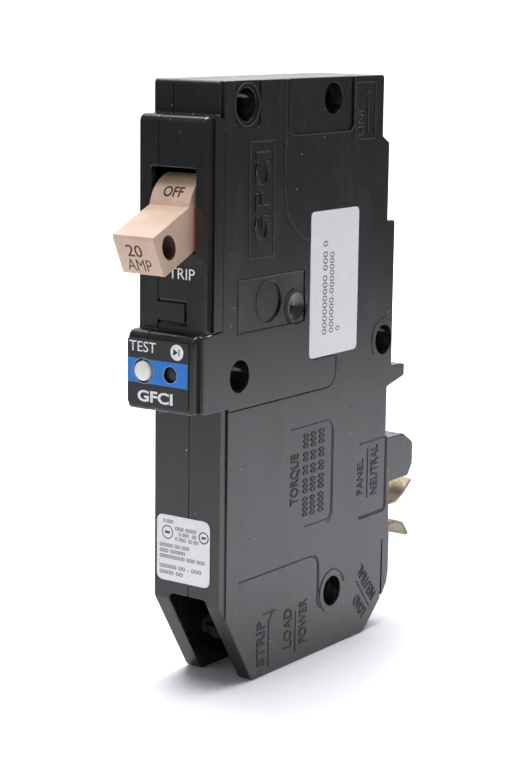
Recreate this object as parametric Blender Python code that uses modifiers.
"""Single-pole plug-on circuit breaker with ground-fault and arc-fault protection.

Metres, +Z up.  The breaker stands on its load end.  The handle side faces -Y, the plug-on
side faces +Y and the width runs along X.  All sizes below are in millimetres, in a working
frame whose y = 0 is the lower front face; the "datum" empty moves that frame so that the
world origin lies under the middle of the whole breaker.
"""
import math

import bmesh
import bpy
from mathutils import Matrix, Vector

MM = 0.001

# ---------------------------------------------------------------- driving dimensions (mm)
WIDTH = 19.05            # one pole space, three quarters of an inch
HALF = WIDTH / 2
HEIGHT = 136.4
WALL = 1.8               # perimeter wall of both shells
SIDE_WALL = 1.6          # the two large side walls
SPLIT_HIGH = -4.2        # parting plane above the test block's underside
SPLIT_LOW = 0.0          # parting plane below it
SEAM = 0.15              # half of the gap at the parting plane
GAP = 0.3                # running gap between neighbouring pieces
SIDE_STEP = 0.3          # depth of the lowered part of the broad side
PANEL_STEP = 0.35        # depth of a plain panel moulded into that side
LABEL_POCKET = 0.28      # depth of the side label's pocket
REBATE = 8.8             # x of the narrow step along the front edges of that side
LABEL = 0.12             # thickness of the printed films
LABEL_GAP = 0.08

LOWER_FRONT = 0.0        # front planes, from the bottom up
TEST_FRONT = -9.7
HANDLE_FRONT = -6.0
TOP_FRONT = -0.9
TEST_LOW = 65.0
TEST_HIGH = 82.5
HANDLE_HIGH = 129.1
CHAMFER_TOP = 20.0
CHAMFER_TOE = 12.5

REAR = 69.8              # rear planes, from the bottom up
REAR_JAW = 66.5
REAR_TOP = 63.5

HANDLE_PIVOT = (0.83, 108.32)
HANDLE_TILT = 24.5       # the lever hangs this far below level when off
HANDLE_REACH = 20.33     # pivot to lever tip
HANDLE_HALF = 4.75       # half the lever's thickness
SKIRT_RADIUS = 8.3
HANDLE_X = (-5.4, 5.35)
HANDLE_FLARE = 0.4       # the lever's left side leans out this far at the tip
SLOT_X = (-6.05, 6.05)

BUTTON_XZ = (-4.85, 73.75)
LED_XZ = (2.5, 73.6)
RIVETS = [(7.65, 131.2), (42.35, 131.5), (5.95, 71.9), (65.8, 72.6), (45.05, 13.9)]
RIVET_POCKET = 3.65      # radius of the hole around each rivet end
RIVET_SEATS = (-7.2, 4.0)              # x of the pocket floors, left and right

PIN_HALF = 8.1           # half the length of the four pivot pins
ARM_PIVOT = (13.0, 107.3)
ARM_OPEN = 16.0          # degrees between open and closed contacts
CRADLE_PIVOT = (16.0, 125.0)
ARMATURE_PIVOT = (48.6, 84.0)
PLUNGER_XZ = (-1.0, 87.6)

LOAD_TERMINAL = (14.0, 12.0, 0.0)      # y, z and turn about X in degrees
NEUTRAL_TERMINAL = (57.0, 12.0, 41.3)
CLIP_X = (1.6, 7.6)
CLIP_TIP = 83.6

ROUND = 20               # sides of a round boss or hole
FINE = 10.0              # degrees a chord turns on an arc that shows


def lever_tip():
    """Frontmost y of the lever, at its upper front corner."""
    tilt = math.radians(HANDLE_TILT)
    return HANDLE_PIVOT[0] - HANDLE_REACH * math.cos(tilt) - HANDLE_HALF * math.sin(tilt)


DATUM_Y = (lever_tip() + CLIP_TIP) / 2


# ---------------------------------------------------------------- scene set-up
def clear_scene():
    for obj in list(bpy.data.objects):
        bpy.data.objects.remove(obj, do_unlink=True)
    for coll in list(bpy.data.collections):
        bpy.data.collections.remove(coll)


def new_collection(name):
    coll = bpy.data.collections.new(name)
    bpy.context.scene.collection.children.link(coll)
    return coll


clear_scene()
PARTS = new_collection("gfci_breaker")
CUTTERS = new_collection("cutters")
DATUM = bpy.data.objects.new("datum", None)
DATUM.location = (0, -DATUM_Y * MM, 0)
PARTS.objects.link(DATUM)

MATERIALS = {}


def material(name, colour, roughness, metallic=0.0):
    """A plain Principled material, made once for each name."""
    if name not in MATERIALS:
        mat = bpy.data.materials.new(name)
        mat.use_nodes = True
        shader = mat.node_tree.nodes["Principled BSDF"]
        shader.inputs["Base Color"].default_value = (*colour, 1.0)
        shader.inputs["Roughness"].default_value = roughness
        shader.inputs["Metallic"].default_value = metallic
        MATERIALS[name] = mat
    return MATERIALS[name]


def black_plastic():
    return material("black_plastic", (0.03, 0.03, 0.033), 0.42)


def beige_plastic():
    return material("beige_plastic", (0.72, 0.48, 0.36), 0.4)


def brass():
    return material("brass", (0.72, 0.5, 0.2), 0.3, 1.0)


def copper():
    return material("copper", (0.75, 0.36, 0.2), 0.32, 1.0)


def steel():
    return material("steel", (0.5, 0.5, 0.5), 0.35, 1.0)


def silver():
    return material("silver", (0.78, 0.77, 0.74), 0.3, 1.0)


def fibre():
    return material("grey_fibre", (0.3, 0.28, 0.26), 0.8)


def white_label():
    return material("white_label", (0.8, 0.8, 0.78), 0.55)


# ---------------------------------------------------------------- outlines (2D, mm)
def filleted(points, step=30.0):
    """Points (u, v) or (u, v, radius): each radius becomes an arc of short chords."""
    out = []
    count = len(points)
    for i, point in enumerate(points):
        here = Vector(point[:2])
        radius = point[2] if len(point) > 2 else 0.0
        if radius == 0.0:
            out.append(tuple(here))
            continue
        to_last = (Vector(points[i - 1][:2]) - here).normalized()
        to_next = (Vector(points[(i + 1) % count][:2]) - here).normalized()
        corner = to_last.angle(to_next)
        reach = radius / math.tan(corner / 2)
        centre = here + (to_last + to_next).normalized() * (radius / math.sin(corner / 2))
        start = here + to_last * reach - centre
        turn = start.angle_signed(here + to_next * reach - centre)
        chords = max(2, round(abs(math.degrees(turn)) / step))
        for k in range(chords + 1):
            spoke = start.copy()
            spoke.rotate(Matrix.Rotation(-turn * k / chords, 2))
            out.append(tuple(centre + spoke))
    return out


def signed_area(points):
    total = 0.0
    for i, (u, v) in enumerate(points):
        next_u, next_v = points[(i + 1) % len(points)]
        total += u * next_v - next_u * v
    return total / 2


def inset(points, distance):
    """A closed outline moved inwards by distance, with mitred corners."""
    ring = [Vector(p[:2]) for p in points]
    if signed_area([tuple(p) for p in ring]) < 0:
        ring.reverse()
    out = []
    for i, here in enumerate(ring):
        before = (here - ring[i - 1]).normalized()
        after = (ring[(i + 1) % len(ring)] - here).normalized()
        normals = Vector((-before.y, before.x)) + Vector((-after.y, after.x))
        out.append(tuple(here + normals * (distance / (1.0 + before.dot(after)))))
    return out


def strip_outline(path, thickness):
    """The outline of a bent strip of one thickness that follows an open path."""
    line = [Vector(p) for p in path]
    left = []
    right = []
    for i, here in enumerate(line):
        before = (here - line[i - 1]).normalized() if i else None
        after = (line[i + 1] - here).normalized() if i < len(line) - 1 else before
        before = before or after
        normals = Vector((-before.y, before.x)) + Vector((-after.y, after.x))
        shift = normals * (thickness / 2 / (1.0 + before.dot(after)))
        left.append(tuple(here + shift))
        right.append(tuple(here - shift))
    return left + right[::-1]


def circle(centre, radius, sides=ROUND):
    return [(centre[0] + radius * math.cos(2 * math.pi * k / sides),
             centre[1] + radius * math.sin(2 * math.pi * k / sides)) for k in range(sides)]


def arc(centre, radius, start, end, chords):
    """Points on an arc, angles in degrees from +u towards +v."""
    points = []
    for k in range(chords + 1):
        angle = math.radians(start + (end - start) * k / chords)
        points.append((centre[0] + radius * math.cos(angle), centre[1] + radius * math.sin(angle)))
    return points


def rectangle(u0, u1, v0, v1, radius=0.0):
    return filleted([(u0, v0, radius), (u1, v0, radius), (u1, v1, radius), (u0, v1, radius)])


# ---------------------------------------------------------------- solids
AXES = {
    "X": Matrix(((0, 0, 1), (1, 0, 0), (0, 1, 0))),      # outline in (y, z)
    "Y": Matrix(((1, 0, 0), (0, 0, -1), (0, 1, 0))),     # outline in (x, z)
    "Z": Matrix(((1, 0, 0), (0, 1, 0), (0, 0, 1))),      # outline in (x, y)
}


def finish_object(obj, mat, origin, turn, cutter):
    """Put the object in its collection, give it its material and hang it on the datum."""
    (CUTTERS if cutter else PARTS).objects.link(obj)
    obj.parent = DATUM
    obj.location = Vector(origin) * MM
    obj.rotation_euler = (math.radians(turn), 0, 0)
    if cutter:
        obj.hide_render = True
        obj.display_type = "WIRE"
    else:
        obj.data.materials.append(mat)
        obj.data.shade_smooth()
        obj.data.set_sharp_from_angle(angle=math.radians(32))
    return obj


def curve_to_mesh(name, curve):
    """The curve as a welded, closed mesh."""
    temp = bpy.data.objects.new(name + "_curve", curve)
    bpy.context.scene.collection.objects.link(temp)
    graph = bpy.context.evaluated_depsgraph_get()
    mesh = bpy.data.meshes.new_from_object(temp.evaluated_get(graph))
    mesh.name = name
    mesh.materials.clear()
    work = bmesh.new()
    work.from_mesh(mesh)
    bmesh.ops.remove_doubles(work, verts=work.verts, dist=1e-6)
    bmesh.ops.recalc_face_normals(work, faces=work.faces)
    work.to_mesh(mesh)
    work.free()
    bpy.data.objects.remove(temp, do_unlink=True)
    return mesh


def prism(name, outline, low, high, mat=None, axis="X", origin=(0, 0, 0), turn=0.0, cutter=False):
    """A flat outline extruded along an axis from low to high.

    Coordinates are those of the object's own frame, which sits at origin.
    """
    curve = bpy.data.curves.new(name, "CURVE")
    curve.dimensions = "2D"
    curve.fill_mode = "BOTH"
    curve.extrude = (high - low) / 2 * MM
    spline = curve.splines.new("POLY")
    spline.points.add(len(outline) - 1)
    for point, (u, v) in zip(spline.points, outline):
        point.co = (u * MM, v * MM, 0, 1)
    spline.use_cyclic_u = True
    mesh = curve_to_mesh(name, curve)
    turned = AXES[axis].to_4x4()
    middle = (low + high) / 2 * (-MM if axis == "Y" else MM)
    mesh.transform(turned @ Matrix.Translation((0, 0, middle)))
    return finish_object(bpy.data.objects.new(name, mesh), mat, origin, turn, cutter)


def box(name, low, high, mat=None, origin=(0, 0, 0), turn=0.0, cutter=False):
    """A block between two corners."""
    mesh = bpy.data.meshes.new(name)
    work = bmesh.new()
    bmesh.ops.create_cube(work, size=1.0)
    size = (Vector(high) - Vector(low)) * MM
    middle = (Vector(high) + Vector(low)) / 2 * MM
    bmesh.ops.scale(work, vec=size, verts=work.verts)
    bmesh.ops.translate(work, vec=middle, verts=work.verts)
    work.to_mesh(mesh)
    work.free()
    return finish_object(bpy.data.objects.new(name, mesh), mat, origin, turn, cutter)


def cylinder(name, axis, centre, radius, low, high, mat=None, origin=(0, 0, 0), turn=0.0,
             cutter=False, sides=ROUND, tip=None):
    """A cylinder, or a cone if tip is given, along X, Y or Z from low to high."""
    mesh = bpy.data.meshes.new(name)
    work = bmesh.new()
    bmesh.ops.create_cone(work, cap_ends=True, segments=sides, radius1=radius * MM,
                          radius2=(radius if tip is None else tip) * MM, depth=(high - low) * MM)
    along = {"X": Matrix.Rotation(math.pi / 2, 4, "Y"),
             "Y": Matrix.Rotation(-math.pi / 2, 4, "X"),
             "Z": Matrix.Identity(4)}[axis]
    middle = (low + high) / 2
    place = {"X": (middle, centre[0], centre[1]),
             "Y": (centre[0], middle, centre[1]),
             "Z": (centre[0], centre[1], middle)}[axis]
    bmesh.ops.transform(work, matrix=Matrix.Translation(Vector(place) * MM) @ along,
                        verts=work.verts)
    work.to_mesh(mesh)
    work.free()
    return finish_object(bpy.data.objects.new(name, mesh), mat, origin, turn, cutter)


def turned(name, profile, axis, mat, origin, turn=0.0, sides=ROUND, closed=False):
    """A turned piece.  The profile lists (radius, height) from its top to its bottom.

    A closed profile goes round a ring's section and never meets the axis.
    """
    mesh = bpy.data.meshes.new(name)
    verts = [(radius * MM, 0, height * MM) for radius, height in profile]
    edges = [(i, i + 1) for i in range(len(verts) - 1)]
    if closed:
        edges.append((len(verts) - 1, 0))
    mesh.from_pydata(verts, edges, [])
    obj = finish_object(bpy.data.objects.new(name, mesh), mat, origin, turn, False)
    screw = obj.modifiers.new("turn", "SCREW")
    screw.steps = sides
    screw.render_steps = sides
    screw.use_merge_vertices = True
    screw.merge_threshold = 1e-6
    screw.use_smooth_shade = True
    if axis == "X":
        obj.rotation_euler = (0, math.pi / 2, 0)
    if axis == "Y":
        obj.rotation_euler = (math.radians(turn) - math.pi / 2, 0, 0)
    return obj


def ring(name, inner, outer, half, axis, mat, origin, sides=ROUND):
    """A turned ring of rectangular section with small chamfers."""
    rim = 0.25 * min(outer - inner, 2 * half)
    profile = [(inner, half - rim), (inner + rim, half), (outer - rim, half), (outer, half - rim),
               (outer, rim - half), (outer - rim, -half), (inner + rim, -half), (inner, rim - half)]
    return turned(name, profile, axis, mat, origin, sides=sides, closed=True)


def tube(name, path, radius, mat, origin=(0, 0, 0), sides=2):
    """A round wire along a list of points."""
    curve = bpy.data.curves.new(name, "CURVE")
    curve.dimensions = "3D"
    curve.bevel_depth = radius * MM
    curve.bevel_resolution = sides
    curve.use_fill_caps = True
    spline = curve.splines.new("POLY")
    spline.points.add(len(path) - 1)
    for point, co in zip(spline.points, path):
        point.co = (*(Vector(co) * MM), 1)
    mesh = curve_to_mesh(name, curve)
    return finish_object(bpy.data.objects.new(name, mesh), mat, origin, 0.0, False)


def smooth_path(points, per_span=4):
    """Points read from a smooth curve through a short list of points."""
    knots = [Vector(p) for p in points]
    knots = [2 * knots[0] - knots[1]] + knots + [2 * knots[-1] - knots[-2]]
    out = []
    for i in range(1, len(knots) - 2):
        before, start, end, after = knots[i - 1:i + 3]
        for k in range(per_span):
            t = k / per_span
            out.append(0.5 * (2 * start + (end - before) * t
                              + (2 * before - 5 * start + 4 * end - after) * t ** 2
                              + (3 * start - before - 3 * end + after) * t ** 3))
    return out + [knots[-2]]


def coil(name, start, end, radius, wire, turns, mat, origin=(0, 0, 0), per_turn=8):
    """A helical spring between two points."""
    start = Vector(start)
    line = Vector(end) - start
    frame = line.to_track_quat("Z", "Y")
    path = []
    for k in range(turns * per_turn + 1):
        angle = 2 * math.pi * k / per_turn
        spoke = Vector((radius * math.cos(angle), radius * math.sin(angle), 0))
        path.append(start + line * (k / (turns * per_turn)) + frame @ spoke)
    return tube(name, path, wire, mat, origin, sides=1)


def combine(obj, other, operation, solver="EXACT"):
    modifier = obj.modifiers.new(operation.lower() + "_" + other.name, "BOOLEAN")
    modifier.operation = operation
    modifier.solver = solver
    modifier.object = other


def cut(obj, *cutters, solver="EXACT"):
    for cutter in cutters:
        combine(obj, cutter, "DIFFERENCE", solver)


def bevel(obj, width, segments=1, angle=40):
    modifier = obj.modifiers.new("edges", "BEVEL")
    modifier.width = width * MM
    modifier.segments = segments
    modifier.limit_method = "ANGLE"
    modifier.angle_limit = math.radians(angle)
    return obj


# ---------------------------------------------------------------- housing
def body_outline(hook=True, lug=False):
    """The side view of the case: (y, z, corner radius), from the front toe round."""
    points = [(CHAMFER_TOE, 0, 1.5), (59.5, 0, 3), (REAR + 0.9, 10.2, 7), (REAR + 0.9, 23),
              (REAR + 0.4, 26)]
    if lug:
        points += [(REAR + 0.4, 36.1), (79.0, 36.2, 0.8), (80.9, 39.0, 0.8), (80.9, 44.6, 0.8),
                   (76.4, 47.4, 0.8)]
    points += [(REAR, 47.5), (68.0, 47.8, 0.4), (68.0, 60.5, 0.4)]
    if hook:
        points += [(75.8, 62.3, 0.6), (76.0, 65.3, 0.6)]
    points += [(REAR, 65.7, 0.3), (REAR, 101.5, 0.8), (REAR_JAW, 101.5, 0.3),
               (REAR_JAW, 120.3, 0.5), (REAR_TOP, 122.0, 0.4), (REAR_TOP, HEIGHT, 0.8),
               (TOP_FRONT, HEIGHT, 0.9), (TOP_FRONT, HANDLE_HIGH, 0.3),
               (HANDLE_FRONT, HANDLE_HIGH, 1.6), (HANDLE_FRONT, TEST_HIGH, 0.3),
               (TEST_FRONT, TEST_HIGH, 1.8), (TEST_FRONT, TEST_LOW, 0.9),
               (LOWER_FRONT, TEST_LOW, 0.3), (LOWER_FRONT, CHAMFER_TOP, 1.5)]
    return points


def cavity_outline():
    """The inside of the perimeter wall, without the rear tabs."""
    plain = [point[:2] for point in body_outline(hook=False)]
    return inset(plain, WALL)


def terminal_point(terminal, across, up):
    """A point in a terminal's own (y, z) frame, as (y, z) of the case."""
    turn = math.radians(terminal[2])
    return (terminal[0] + across * math.cos(turn) - up * math.sin(turn),
            terminal[1] + across * math.sin(turn) + up * math.cos(turn))


def rib_blocks():
    """Solid ribs and blocks left standing inside both shells: low and high corners."""
    return {
        "entry_cheek_right": ((5.3, -1, -1), (9, 24, 22.5)),
        "entry_cheek_left": ((-9, -1, -1), (-5.3, 24, 22.5)),
        "barrier_above_terminal": ((-9, -1, 22.5), (9, 16.5, 24)),
        "jaw_shelf_low": ((-9, 56, 102.6), (9, 68, 104)),
        "jaw_shelf_high": ((-9, 53, 124.2), (9, 68, 125.6)),
        "rear_post": ((-9, 53, 63.5), (9, 69, 65)),
        "jaw_cheek_right": ((4.9, 50.6, 105.4), (9, 51.9, 125)),
        "jaw_cheek_left": ((-9, 50.6, 105.4), (-4.9, 51.9, 125)),
    }


def cavity_cutter(name, low, high):
    """The hollow of one shell between two x planes, with bosses and ribs left standing."""
    hollow = prism(name, cavity_outline(), low, high, cutter=True)
    for i, centre in enumerate(RIVETS):
        cut(hollow, cylinder(f"{name}_boss_{i + 1}", "X", centre, 5.3, low - 1, high + 1,
                             cutter=True, sides=12))
    for rib, (corner, opposite) in rib_blocks().items():
        cut(hollow, box(f"{name}_{rib}", corner, opposite, cutter=True))
    return hollow


def front_openings():
    """Cutters that pass through both shells."""
    pivot_z = HANDLE_PIVOT[1]
    turn = NEUTRAL_TERMINAL[2]
    neutral = (0, NEUTRAL_TERMINAL[0], NEUTRAL_TERMINAL[1])
    cutters = [
        prism("lever_slot", rectangle(*SLOT_X, pivot_z - 8.6, pivot_z + 9.6, 0.3),
              -8, 0.5, axis="Y", cutter=True),
        cylinder("button_hole", "Y", BUTTON_XZ, 2.7, -12, -6, cutter=True),
        cylinder("led_hole", "Y", LED_XZ, 1.8, -12, -6, cutter=True),
        prism("wire_entry", rectangle(-5.3, 5.3, -3, 21.2, 1.2), -3, 23, axis="Y", cutter=True),
        box("jaw_mouth", (-6.6, 58, 107.2), (6.6, 70, 120.2), cutter=True),
        box("neutral_wire_entry", (-4.3, 60.0, -3), (4.3, 66.5, 9.5), cutter=True),
        cylinder("neutral_screw_access", "Y", (0, 0), 3.7, -26, -4, origin=neutral, turn=turn,
                 cutter=True),
    ]
    for name, centre in (("handle_pin", HANDLE_PIVOT), ("arm_pin", ARM_PIVOT),
                         ("cradle_pin", CRADLE_PIVOT), ("armature_pin", ARMATURE_PIVOT)):
        cutters.append(cylinder(name + "_socket", "X", centre, 1.5, -PIN_HALF - GAP,
                                PIN_HALF + GAP, cutter=True, sides=14))
    return cutters


def rivet_cutters(side):
    """The pocket, seat and through hole of each rivet, for the right or left shell."""
    cutters = []
    for i, centre in enumerate(RIVETS):
        cutters.append(cylinder(f"rivet_hole_{side}_{i + 1}", "X", centre, 2.2, -12, 12,
                                cutter=True, sides=12))
        low, high = (RIVET_SEATS[1], 12) if side == "right" else (-12, RIVET_SEATS[0])
        cutters.append(cylinder(f"rivet_pocket_{side}_{i + 1}", "X", centre, RIVET_POCKET,
                                low, high, cutter=True, sides=24))
    return cutters


def side_relief():
    """Shallow steps moulded into the broad right-hand side."""
    step = HALF - SIDE_STEP
    lowered = filleted([(22.2, HEIGHT + 5), (22.2, 112.2, 0.5), (24.6, 104.8, 10),
                        (33.2, 99.4, 6), (44.2, 99.4, 1), (44.2, 64.5, 3.5), (-14, 64.5),
                        (-14, -5), (90, -5), (90, HEIGHT + 5)], FINE)
    return [
        prism("lowered_side", lowered, step, 12, cutter=True),
        prism("front_rebate_low", rectangle(-14, LOWER_FRONT + 2.2, -5, TEST_LOW), REBATE, 12,
              cutter=True),
        prism("front_rebate_test", rectangle(-14, TEST_FRONT + 2.3, TEST_LOW - 1, TEST_HIGH + 1),
              REBATE, 12, cutter=True),
        prism("front_rebate_handle", rectangle(-14, TOP_FRONT + 0.6, TEST_HIGH, HEIGHT + 5),
              REBATE, 12, cutter=True),
        prism("upper_panel", rectangle(24.3, 50.8, 123.7, HEIGHT + 5, 2.0), step - PANEL_STEP, 12,
              cutter=True),
        prism("square_panel", rectangle(5.3, 31.2, 81.3, 93.0), HALF - PANEL_STEP, 12,
              cutter=True),
        prism("round_panel", circle((17.3, 87.3), 4.7), HALF - 0.75, 12, cutter=True),
        cylinder("cone_mark", "X", (28.0, 85.0), 0.4, HALF - 1.2, HALF + 0.8, cutter=True,
                 sides=48, tip=6.8),
        prism("rivet_panel", rectangle(3.2, 12.8, 126.0, HEIGHT + 5, 1.5), step, 12,
              cutter=True),
        prism("rear_groove", rectangle(67.0, 67.6, 6.5, 22.0), step - 0.4, 12, cutter=True),
        prism("side_label_pocket", rectangle(33.0, 53.5, 71.7, 106.3, 1.4), HALF - LABEL_POCKET,
              12, cutter=True),
    ]


def make_right_shell():
    """The base: the right side, its walls, the lug over the neutral clip."""
    shell = prism("right_shell", filleted(body_outline(lug=True)), SPLIT_HIGH + SEAM, HALF,
                  black_plastic())
    cut(shell, box("right_below_split", (-12, -20, -9), (SPLIT_LOW + SEAM, 100, TEST_LOW + 0.2),
                   cutter=True))
    cut(shell, cavity_cutter("right_hollow", SPLIT_HIGH - 3, HALF - SIDE_WALL))
    cut(shell, *side_relief())
    cut(shell, prism("trip_tab_recess", [(-7, 89.4), (-5.55, 89.4), (-4.95, 84.4), (-7, 83.2)],
                     SPLIT_HIGH - 2, 3.9, cutter=True))
    cut(shell, box("clip_window", (1.1, 64, 22.6), (8.1, 74, 31.8), cutter=True))
    return shell


def make_left_shell():
    """The cover: shallow above, half the width below."""
    shell = prism("left_shell", filleted(body_outline()), -HALF, SPLIT_LOW - SEAM,
                  black_plastic())
    cut(shell, box("left_above_split", (SPLIT_HIGH - SEAM, -20, TEST_LOW - 0.1), (12, 100, 150),
                   cutter=True))
    cut(shell, cavity_cutter("left_hollow", SIDE_WALL - HALF, SPLIT_LOW + 3))
    return shell


def make_housing():
    right = make_right_shell()
    left = make_left_shell()
    shared = front_openings()
    cut(right, *shared)
    cut(left, *shared)
    # The manifold solver keeps every narrow facet of the pin sockets and the rivet holes.
    cut(right, *rivet_cutters("right"), solver="MANIFOLD")
    cut(left, *rivet_cutters("left"), solver="MANIFOLD")


def make_rivets():
    """Tubular rivets, each rolled over at the right and domed at the left."""
    for i, centre in enumerate(RIVETS):
        left_seat = RIVET_SEATS[0] - GAP / 2
        right_seat = RIVET_SEATS[1] + GAP / 2
        profile = [(0, right_seat - 2.2), (1.1, right_seat - 2.0), (1.25, right_seat + 0.7),
                   (1.9, right_seat + 1.0), (2.9, right_seat + 0.6), (3.0, right_seat),
                   (1.9, right_seat), (1.9, left_seat), (3.1, left_seat),
                   (3.0, left_seat - 0.5), (1.8, left_seat - 0.9), (0, left_seat - 1.0)]
        turned(f"rivet_{i + 1}", profile, "X", brass(), (0, *centre), sides=14)


def make_labels():
    """The printed films on the test block, the lower front and the broad side."""
    face = TEST_FRONT - LABEL_GAP
    label = prism("test_label", rectangle(-9.3, 7.45, 66.15, 80.85, 0.7), face - LABEL, face,
                  material("black_label", (0.02, 0.02, 0.022), 0.35), axis="Y")
    cut(label, cylinder("label_button_hole", "Y", BUTTON_XZ, 2.7, -12, -6, cutter=True),
        cylinder("label_led_hole", "Y", LED_XZ, 1.8, -12, -6, cutter=True))
    face = LOWER_FRONT - LABEL_GAP
    prism("rating_label", rectangle(-8.6, 6.3, 24.2, 39.4, 1.5), face - LABEL, face,
          white_label(), axis="Y")
    prism("side_label", rectangle(33.25, 53.25, 72.0, 106.0, 1.2), HALF - LABEL_GAP - LABEL,
          HALF - LABEL_GAP, white_label())


# ---------------------------------------------------------------- handle and mechanism
def make_handle():
    """The lever, its curved skirt and its hub, drawn level and then tilted down."""
    skirt = 104.0
    shoulder = math.degrees(math.asin(HANDLE_HALF / SKIRT_RADIUS))
    outline = arc((0, 0), SKIRT_RADIUS, 180 - skirt, 180 - shoulder, 10)
    outline += filleted([(-SKIRT_RADIUS, HANDLE_HALF), (-HANDLE_REACH, HANDLE_HALF, 0.6),
                         (-HANDLE_REACH, -HANDLE_HALF, 0.6),
                         (-SKIRT_RADIUS, -HANDLE_HALF)])[1:-1]
    outline += arc((0, 0), SKIRT_RADIUS, 180 + shoulder, 180 + skirt, 10)
    outline += arc((0, 0), 3.4, -60, 60, 8)
    handle = prism("handle", outline, *HANDLE_X, beige_plastic(),
                   origin=(0, *HANDLE_PIVOT), turn=HANDLE_TILT)
    for vert in handle.data.vertices:
        if vert.co.x < 0 and vert.co.y < -HANDLE_REACH / 2 * MM:
            vert.co.x -= HANDLE_FLARE * MM
    bevel(handle, 0.3)
    hole = [(-16.23 + 2.2 * math.cos(a), 0.2 + 2.8 * math.sin(a))
            for a in (2 * math.pi * k / 20 for k in range(20))]
    cut(handle, prism("handle_tie_hole", hole, -12, 12, origin=(0, *HANDLE_PIVOT),
                      turn=HANDLE_TILT, cutter=True))
    cut(handle, cylinder("handle_bore", "X", (0, 0), 1.5, -12, 12, origin=(0, *HANDLE_PIVOT),
                         cutter=True, sides=16))


def make_pins():
    for name, centre in (("handle_pin", HANDLE_PIVOT), ("arm_pin", ARM_PIVOT),
                         ("cradle_pin", CRADLE_PIVOT), ("armature_pin", ARMATURE_PIVOT)):
        cylinder(name, "X", (0, 0), 1.2, -PIN_HALF, PIN_HALF, steel(), origin=(0, *centre),
                 sides=14)


def make_trip_flag():
    """The red strip that shows at the right of the lever."""
    front = HANDLE_FRONT + 0.4
    low = HANDLE_PIVOT[1] - 8.1
    high = HANDLE_PIVOT[1] + 2.0
    outline = filleted([(front, low), (front, high, 1), (front + 3.0, high, 1), (front + 3.0, low)])
    prism("trip_flag", outline, HANDLE_X[1] + 0.15, SLOT_X[1] - 0.2,
          material("red_plastic", (0.6, 0.03, 0.02), 0.4))


def make_contact_arm():
    """The moving contact arm: drawn closed, then opened about its pin."""
    length = 24.0
    origin = (0, *ARM_PIVOT)
    rise = 36.0 - ARM_OPEN
    blade = filleted([(-3.2, -3.2, 3), (length, -2.2, 1), (length, 1.8, 0.5), (4, 3.2, 3),
                      (-3.2, 3.2, 3)])
    arm = prism("contact_arm", blade, -1.2, 1.2, copper(), origin=origin, turn=rise)
    cut(arm, cylinder("arm_bore", "X", (0, 0), 1.5, -9, 9, origin=origin, cutter=True, sides=16))
    cylinder("moving_contact", "Z", (0, length - 3.0), 2.1, 2.3, 3.9, silver(), origin=origin,
             turn=rise, sides=20)


def make_fixed_contact():
    """The line jaw, its strap and the fixed contact, which the closed arm meets."""
    closed = math.radians(36.0)
    reach = Vector((21.0, 4.2))
    y = ARM_PIVOT[0] + reach.x * math.cos(closed) - reach.y * math.sin(closed)
    z = ARM_PIVOT[1] + reach.x * math.sin(closed) + reach.y * math.cos(closed)
    origin = (0, y, z)
    cylinder("fixed_contact", "Z", (0, 0), 2.1, 0.1, 1.6, silver(), origin=origin, turn=36.0,
             sides=20)
    contact_end = Vector((y, z)) + Vector((-math.sin(closed), math.cos(closed))) * 2.5
    along = Vector((math.cos(closed), math.sin(closed)))
    path = [tuple(contact_end - along * 2.6), tuple(contact_end + along * 4.0), (31.6, 127.2),
            (37.0, 125.0), (50.6, 125.0), (50.6, 121.0)]
    prism("line_strap", strip_outline(path, 1.2), -3.2, 3.2, copper())
    jaw = [(64.4, 118.6), (61.6, 115.2), (57.8, 115.6), (54.5, 118.5), (52.4, 118.5),
           (52.4, 108.9), (54.5, 108.9), (57.8, 111.8), (61.6, 112.2), (64.4, 108.8)]
    prism("line_jaw", strip_outline(jaw, 1.1), -4.6, 4.6, copper())
    spring = [(61.4, 117.6), (58.4, 118.6), (56.2, 121.0), (54.0, 122.2)]
    prism("jaw_spring_upper", strip_outline(spring, 0.6), -3.8, 3.8, steel())
    mirrored = [(py, 2 * 113.7 - pz) for py, pz in spring]
    prism("jaw_spring_lower", strip_outline(mirrored, 0.6), -3.8, 3.8, steel())


def make_cradle():
    """The latched trip lever beside the contact arm."""
    origin = (0, *CRADLE_PIVOT)
    outline = filleted([(-3, 3, 2.6), (-3, -3, 2.6), (6, -4.6, 2), (28.6, -25.2, 0.6),
                        (30.6, -23.2, 0.6), (9, 2.0, 4), (3, 3, 2)])
    cradle = prism("cradle", outline, 3.4, 4.6, steel(), origin=origin)
    cut(cradle, cylinder("cradle_bore", "X", (0, 0), 1.5, -9, 9, origin=origin, cutter=True,
                         sides=16))
    coil("toggle_spring", (-3.4, 19.0, 113.5), (-3.4, 27.0, 99.5), 1.4, 0.28, 6, steel())


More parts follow.
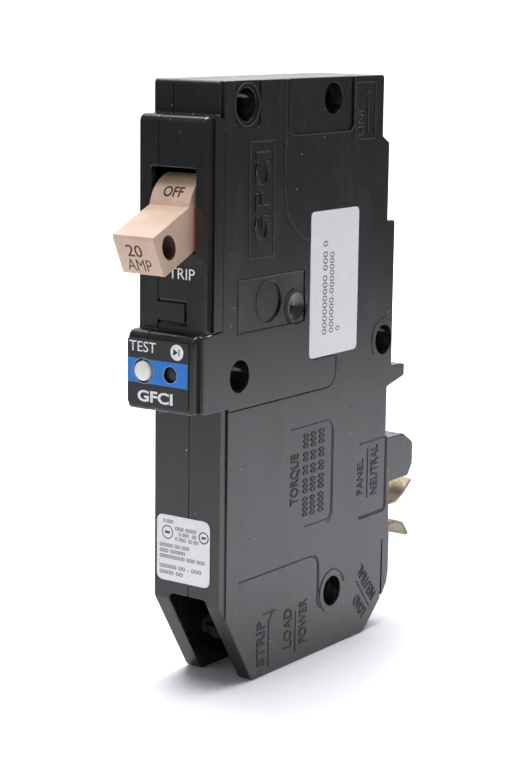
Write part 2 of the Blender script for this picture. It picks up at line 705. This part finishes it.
def make_armature():
    """The latch plate, its U-shaped magnet yoke and the bimetal between them."""
    origin = (0, *ARMATURE_PIVOT)
    plate = prism("armature", strip_outline([(0, -1.8), (0, 17.5), (-1.6, 18.6)], 1.2), -4.2, 4.2,
                  steel(), origin=origin)
    combine(plate, cylinder("armature_knuckle", "X", (0, 0), 2.3, -4.2, 4.2, origin=origin,
                            cutter=True, sides=18), "UNION")
    cut(plate, cylinder("armature_bore", "X", (0, 0), 1.5, -9, 9, origin=origin, cutter=True,
                        sides=16))
    prism("bimetal", strip_outline([(52.4, 78.6), (52.4, 100.4)], 1.0), -2.4, 2.4,
          material("bimetal", (0.55, 0.47, 0.38), 0.35, 1.0))
    yoke = [(-4.4, 50.9), (-4.4, 55.4), (4.4, 55.4), (4.4, 50.9)]
    prism("magnet_yoke", strip_outline(yoke, 1.2), 88.5, 98.5, steel(), axis="Z")
    turned("calibration_screw", [(0, 5.4), (1.0, 5.4), (1.4, 5.0), (1.4, -3.6), (0, -3.6)], "Y",
           steel(), (0, 57.2, 80.0), sides=18)


def make_solenoid():
    """The trip coil that the electronics fire, with its frame and plunger."""
    x, z = PLUNGER_XZ
    ring("solenoid_coil", 2.5, 4.6, 5.2, "Y", material("enamelled_wire", (0.45, 0.12, 0.05), 0.35),
         (x, 36.0, z), sides=18)
    frame = prism("solenoid_frame", strip_outline([(30.0, z + 4.9), (30.0, z - 5.6),
                                                   (42.0, z - 5.6), (42.0, z + 4.9)], 1.0),
                  x - 4.4, x + 4.4, steel())
    cut(frame, cylinder("frame_bore", "Y", (x, z), 2.2, 26, 46, cutter=True, sides=20))
    turned("solenoid_plunger", [(0, 18.0), (0.9, 18.0), (1.1, 17.6), (1.1, 11.4), (1.8, 10.8),
                                (1.8, 0.0), (3.2, 0.0), (3.2, -1.0), (0, -1.0)], "Y", steel(),
           (x, 27.6, z), sides=18)


def make_arc_chute():
    """Two fibre cheeks and the steel splitter plates that quench the arc."""
    for side, low in (("right", 4.9), ("left", -5.9)):
        prism(f"arc_cheek_{side}", rectangle(41.0, 50.0, 110.6, 124.6, 1.0), low, low + 1.0,
              fibre())
    notch = [(-4.5, 41.6), (-1.9, 41.6), (-1.9, 44.4), (1.9, 44.4), (1.9, 41.6), (4.5, 41.6),
             (4.5, 49.0), (-4.5, 49.0)]
    for k in range(3):
        low = 112.4 + 4.0 * k
        prism(f"arc_plate_{k + 1}", notch, low, low + 1.0, steel(), axis="Z")


def make_braid():
    path = smooth_path([(-2.4, 34.0, 112.0), (-5.4, 36.5, 107.4), (-6.6, 41.0, 102.8),
                        (-6.6, 48.5, 102.0), (-4.6, 52.6, 103.6), (-0.4, 52.4, 102.0)], 3)
    tube("contact_braid", path, 0.8, material("braid", (0.7, 0.34, 0.2), 0.5, 1.0))


# ---------------------------------------------------------------- test button and electronics
def make_test_group():
    x, z = BUTTON_XZ
    turned("test_button", [(0, 7.1), (1.2, 7.1), (1.2, 4.2), (2.9, 4.2), (2.9, 3.2), (2.4, 3.2),
                           (2.4, 0.5), (2.1, 0.12), (0, 0)], "Y",
           material("white_plastic", (0.8, 0.79, 0.76), 0.35), (x, -10.8, z), sides=24)
    coil("test_button_spring", (x, -6.2, z), (x, -2.4, z), 2.0, 0.2, 4, steel())
    box("test_contact", (x - 2.4, -1.85, z - 4.6), (x + 2.2, -1.55, z + 1.2), brass())
    turned("led_lens", [(0, 7.3), (1.4, 7.3), (1.4, 2.7), (2.3, 2.7), (2.3, 1.8), (1.5, 1.8),
                        (1.5, 0.5), (1.0, 0.1), (0, 0)], "Y",
           material("smoked_lens", (0.03, 0.03, 0.03), 0.12), (LED_XZ[0], -9.2, LED_XZ[1]),
           sides=20)
    board = material("circuit_board", (0.03, 0.22, 0.1), 0.45)
    box("front_board", (-7.2, -1.4, 67.2), (7.2, -0.2, 80.4), board)
    box("main_board", (5.5, 12.0, 27.0), (7.1, 31.5, 80.5), board)
    chip = box("control_chip", (3.6, 15.0, 33.0), (5.2, 26.0, 41.0),
               material("chip", (0.02, 0.02, 0.02), 0.5))
    bevel(chip, 0.25)
    turned("surge_arrester", [(0, 1.7), (3.6, 1.7), (5.0, 1.0), (5.0, -1.0), (3.6, -1.7),
                              (0, -1.7)], "X",
           material("blue_epoxy", (0.04, 0.12, 0.4), 0.35), (3.2, 21.0, 68.5), sides=24)
    turned("capacitor", [(0, 5.0), (3.0, 5.0), (3.3, 4.6), (3.3, -4.6), (3.0, -5.0), (0, -5.0)],
           "X", material("capacitor_sleeve", (0.04, 0.04, 0.05), 0.3), (0.2, 23.5, 50.5),
           sides=20)


def make_sensors():
    """Two current transformers around both conductors, and the conductors."""
    for name, z, colour in (("ground_fault_sensor", 50.0, (0.05, 0.25, 0.1)),
                            ("arc_fault_sensor", 59.0, (0.5, 0.4, 0.08))):
        ring(name, 3.4, 6.6, 3.0, "Z", material(name + "_tape", colour, 0.5), (0, 42.5, z),
             sides=20)
    power = smooth_path([(-1.5, 21.6, 26.0), (-1.5, 27.0, 31.0), (-1.5, 37.5, 38.0),
                         (-1.5, 42.5, 46.0), (-1.5, 42.5, 54.0), (-1.5, 42.5, 63.0),
                         (-1.5, 46.0, 70.5), (-1.5, 51.8, 74.2), (-1.5, 52.4, 78.0)], 2)
    tube("power_conductor", power, 1.1, material("black_insulation", (0.02, 0.02, 0.02), 0.45),
         sides=1)
    neutral = smooth_path([(1.5, 53.2, 25.0), (1.5, 50.0, 29.5), (1.5, 44.0, 37.5),
                           (1.5, 42.5, 46.0), (1.5, 42.5, 56.0), (1.5, 43.4, 64.4),
                           (2.4, 50.0, 67.6), (3.6, 52.4, 58.0), (4.2, 58.0, 49.0),
                           (4.4, 63.2, 45.2)], 2)
    tube("neutral_conductor", neutral, 1.1,
         material("white_insulation", (0.75, 0.75, 0.72), 0.45), sides=1)


def make_neutral_clip():
    """The spring clip that pushes on to the panel's neutral bar."""
    mid = 27.2
    upper = [(66.9, mid + 2.9), (76.0, mid + 2.7), (79.4, mid + 4.2), (CLIP_TIP - 0.45, mid + 7.0)]
    lower = [(66.9, mid - 2.9), (76.0, mid - 2.7), (79.6, mid - 4.0), (82.2, mid - 7.2)]
    clip = prism("neutral_clip", strip_outline(upper[::-1] + lower, 0.9), *CLIP_X, brass())
    tail = strip_outline([(66.9, mid), (66.9, 46.0)], 0.9)
    combine(clip, prism("neutral_clip_tail", tail, 2.6, 6.6, cutter=True), "UNION")


# ---------------------------------------------------------------- terminals
def make_terminal(name, terminal, metal):
    """A clamp terminal in its own frame: the screw drives the clamp towards the strip."""
    y, z, turn = terminal
    origin = (0, y, z)
    strip = prism(f"{name}_terminal", strip_outline([(4.6, -5.0), (4.6, 9.4), (6.6, 11.4)], 1.2),
                  -4.4, 4.4, metal, origin=origin, turn=turn)
    bore = cylinder(f"{name}_terminal_bore", "Y", (0, 0), 2.3, -9, 18, origin=origin, turn=turn,
                    cutter=True, sides=20)
    cut(strip, bore)
    plate = filleted([(-4.0, 0.5), (-4.0, -1.0, 0.6), (4.0, -1.0, 0.6), (4.0, 0.5), (2.9, 0.5),
                      (2.6, 0.2), (-2.6, 0.2), (-2.9, 0.5)])
    clamp = prism(f"{name}_clamp", plate, -3.9, 3.9, steel(), axis="Z", origin=origin, turn=turn)
    cut(clamp, bore)
    screw = turned(f"{name}_screw", [(0, 10.0), (1.4, 10.0), (1.9, 9.5), (1.9, -1.3),
                                     (3.2, -1.3), (3.3, -1.6), (3.3, -3.0), (3.0, -3.3),
                                     (0, -3.3)], "Y", steel(), origin, turn, sides=18)
    return screw, origin, turn


def make_terminals():
    for name, terminal, metal in (("load", LOAD_TERMINAL, copper()),
                                  ("neutral", NEUTRAL_TERMINAL, silver())):
        screw, origin, turn = make_terminal(name, terminal, metal)
        drive = box(f"{name}_screw_slot", (-2.6, -5, -0.45), (2.6, -2.3, 0.45), origin=origin,
                    turn=turn, cutter=True)
        cut(screw, drive)


def main():
    make_housing()
    make_rivets()
    make_labels()
    make_handle()
    make_pins()
    make_trip_flag()
    make_contact_arm()
    make_fixed_contact()
    make_cradle()
    make_armature()
    make_solenoid()
    make_arc_chute()
    make_braid()
    make_test_group()
    make_sensors()
    make_neutral_clip()
    make_terminals()


main()
